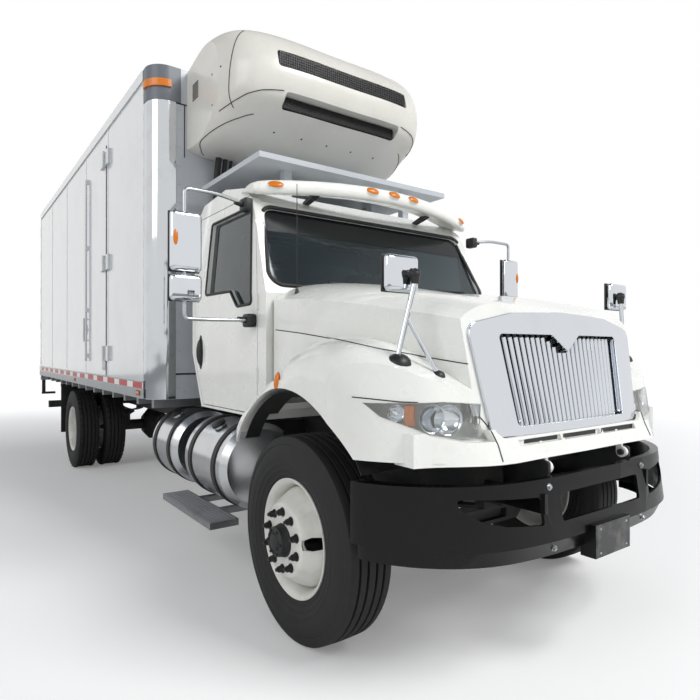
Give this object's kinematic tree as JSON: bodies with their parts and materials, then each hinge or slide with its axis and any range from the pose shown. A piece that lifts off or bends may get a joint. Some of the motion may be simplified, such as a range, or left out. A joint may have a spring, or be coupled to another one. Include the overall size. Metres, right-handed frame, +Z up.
{
  "type": "refrigerated truck",
  "caption": "Refrigerated truck: tilting bonnet, two-door cab, insulated load box with a side door and twin rear doors, and a cooling unit over the cab.",
  "frame": {"origin": "on the ground, midway along and across the truck", "axes": "+Y towards the rear doors, the truck facing -Y, +X towards its left side and +Z up"},
  "size_m": [3.065, 9.3779, 3.9459],
  "materials": {
    "white_paint": "gloss",
    "black_paint": "gloss",
    "panel_white": "satin",
    "chassis_black": "satin",
    "axle_iron": "matte",
    "spring_steel": "matte",
    "tyre_rubber": "matte",
    "wheel_white": "gloss",
    "aluminium": "satin",
    "chrome": "polished",
    "black_plastic": "matte",
    "grey_plastic": "matte",
    "white_plastic": "gloss",
    "rubber": "matte",
    "glass": "gloss",
    "lens": "gloss",
    "amber_lens": "gloss",
    "red_lens": "gloss",
    "seat_fabric": "matte",
    "steel": "satin"
  },
  "bodies": {
    "truck": {"frame_rails": "chassis_black", "cross_members": "chassis_black", "front_axle": "axle_iron", "rear_axle": "axle_iron", "leaf_springs": "spring_steel", "engine_block": "axle_iron", "radiator": "aluminium", "driveline": "spring_steel", "exhaust": "steel", "fuel_tanks": "aluminium", "tank_mounts": "chassis_black", "cab_steps": "aluminium", "battery_box": "aluminium", "bumper": "black_paint", "cab_shell": "white_paint", "cab_glass": "glass", "dashboard": "grey_plastic", "seats": "seat_fabric", "sun_visor": "white_plastic", "marker_lamps": "amber_lens", "roof_panel": "panel_white", "box_floor": "aluminium", "box_front_wall": "panel_white", "box_wall_left": "panel_white", "box_wall_right": "panel_white", "box_roof": "panel_white", "rear_frame": "steel", "reefer_housing": "white_plastic", "reefer_grilles": "black_plastic", "mud_flaps": "rubber", "rear_guard": "chassis_black", "tail_lamps": "red_lens"},
    "bonnet": {"bonnet": "white_paint", "grille_surround": "chrome", "grille_bars": "chrome", "headlamps": "lens", "bonnet_mirrors": "chrome"},
    "side_door": {"side_door": "panel_white"},
    "track_rod": {"track_rod": "axle_iron"},
    "cab_door_left": {"cab_door_left": "white_paint", "door_glass_left": "glass", "door_mirror_left": "black_plastic"},
    "rear_door_left": {"rear_door_left": "panel_white"},
    "knuckle_left": {"knuckle_left": "axle_iron"},
    "wheel_front_left": {"tyre_front_left": "tyre_rubber", "rim_front_left": "wheel_white"},
    "wheels_rear_left": {"tyres_rear_left": "tyre_rubber", "rims_rear_left": "wheel_white"},
    "cab_door_right": {"cab_door_right": "white_paint", "door_glass_right": "glass", "door_mirror_right": "black_plastic"},
    "rear_door_right": {"rear_door_right": "panel_white"},
    "knuckle_right": {"knuckle_right": "axle_iron"},
    "wheel_front_right": {"tyre_front_right": "tyre_rubber", "rim_front_right": "wheel_white"},
    "wheels_rear_right": {"tyres_rear_right": "tyre_rubber", "rims_rear_right": "wheel_white"}
  },
  "joints": [
    {"name": "bonnet_tilt", "type": "hinge", "parent": "truck", "child": "bonnet", "pos_m": [0, -4.55782, 0.93828], "axis": [1, 0, 0], "range_deg": [0, 50]},
    {"name": "cab_door_left_hinge", "type": "hinge", "parent": "truck", "child": "cab_door_left", "pos_m": [1.004, -3.01098, 1.71023], "axis": [0, 0.0174, -0.9998], "range_deg": [0, 65]},
    {"name": "cab_door_right_hinge", "type": "hinge", "parent": "truck", "child": "cab_door_right", "pos_m": [-1.004, -3.01098, 1.71023], "axis": [0, -0.0174, 0.9998], "range_deg": [0, 65]},
    {"name": "side_door_hinge", "type": "hinge", "parent": "truck", "child": "side_door", "pos_m": [-1.2522, -0.10356, 2.46079], "axis": [0, -0.0174, 0.9998], "range_deg": [0, 170]},
    {"name": "rear_door_left_hinge", "type": "hinge", "parent": "truck", "child": "rear_door_left", "pos_m": [1.2052, 4.64772, 2.54324], "axis": [0, 0.0174, -0.9998], "range_deg": [0, 240]},
    {"name": "rear_door_right_hinge", "type": "hinge", "parent": "truck", "child": "rear_door_right", "pos_m": [-1.2052, 4.64772, 2.54324], "axis": [0, -0.0174, 0.9998], "range_deg": [0, 240]},
    {"name": "steer_left", "type": "hinge", "parent": "truck", "child": "knuckle_left", "pos_m": [0.88, -3.5905, 0.525], "axis": [0, -0.0174, 0.9998], "range_deg": [-35, 35]},
    {"name": "steer_right", "type": "hinge", "parent": "truck", "child": "knuckle_right", "pos_m": [-0.88, -3.5905, 0.525], "axis": [0, -0.0174, 0.9998], "range_deg": [-35, 35]},
    {"name": "track_rod_swing", "type": "hinge", "parent": "knuckle_left", "child": "track_rod", "pos_m": [0.88, -3.4382, 0.39362], "axis": [0, -0.0174, 0.9998], "range_deg": [-35, 35]},
    {"name": "spin_front_left", "type": "hinge", "parent": "knuckle_left", "child": "wheel_front_left", "pos_m": [0.992, -3.5905, 0.525], "axis": [1, 0, 0], "continuous": true},
    {"name": "spin_front_right", "type": "hinge", "parent": "knuckle_right", "child": "wheel_front_right", "pos_m": [-0.992, -3.5905, 0.525], "axis": [1, 0, 0], "continuous": true},
    {"name": "spin_rear_left", "type": "hinge", "parent": "truck", "child": "wheels_rear_left", "pos_m": [0.824, 2.4035, 0.525], "axis": [1, 0, 0], "continuous": true},
    {"name": "spin_rear_right", "type": "hinge", "parent": "truck", "child": "wheels_rear_right", "pos_m": [-0.824, 2.4035, 0.525], "axis": [1, 0, 0], "continuous": true}
  ],
  "couplings": [
    {"joint": "steer_right", "follows": "steer_left", "ratio": 1},
    {"joint": "track_rod_swing", "follows": "steer_left", "ratio": -1}
  ]
}
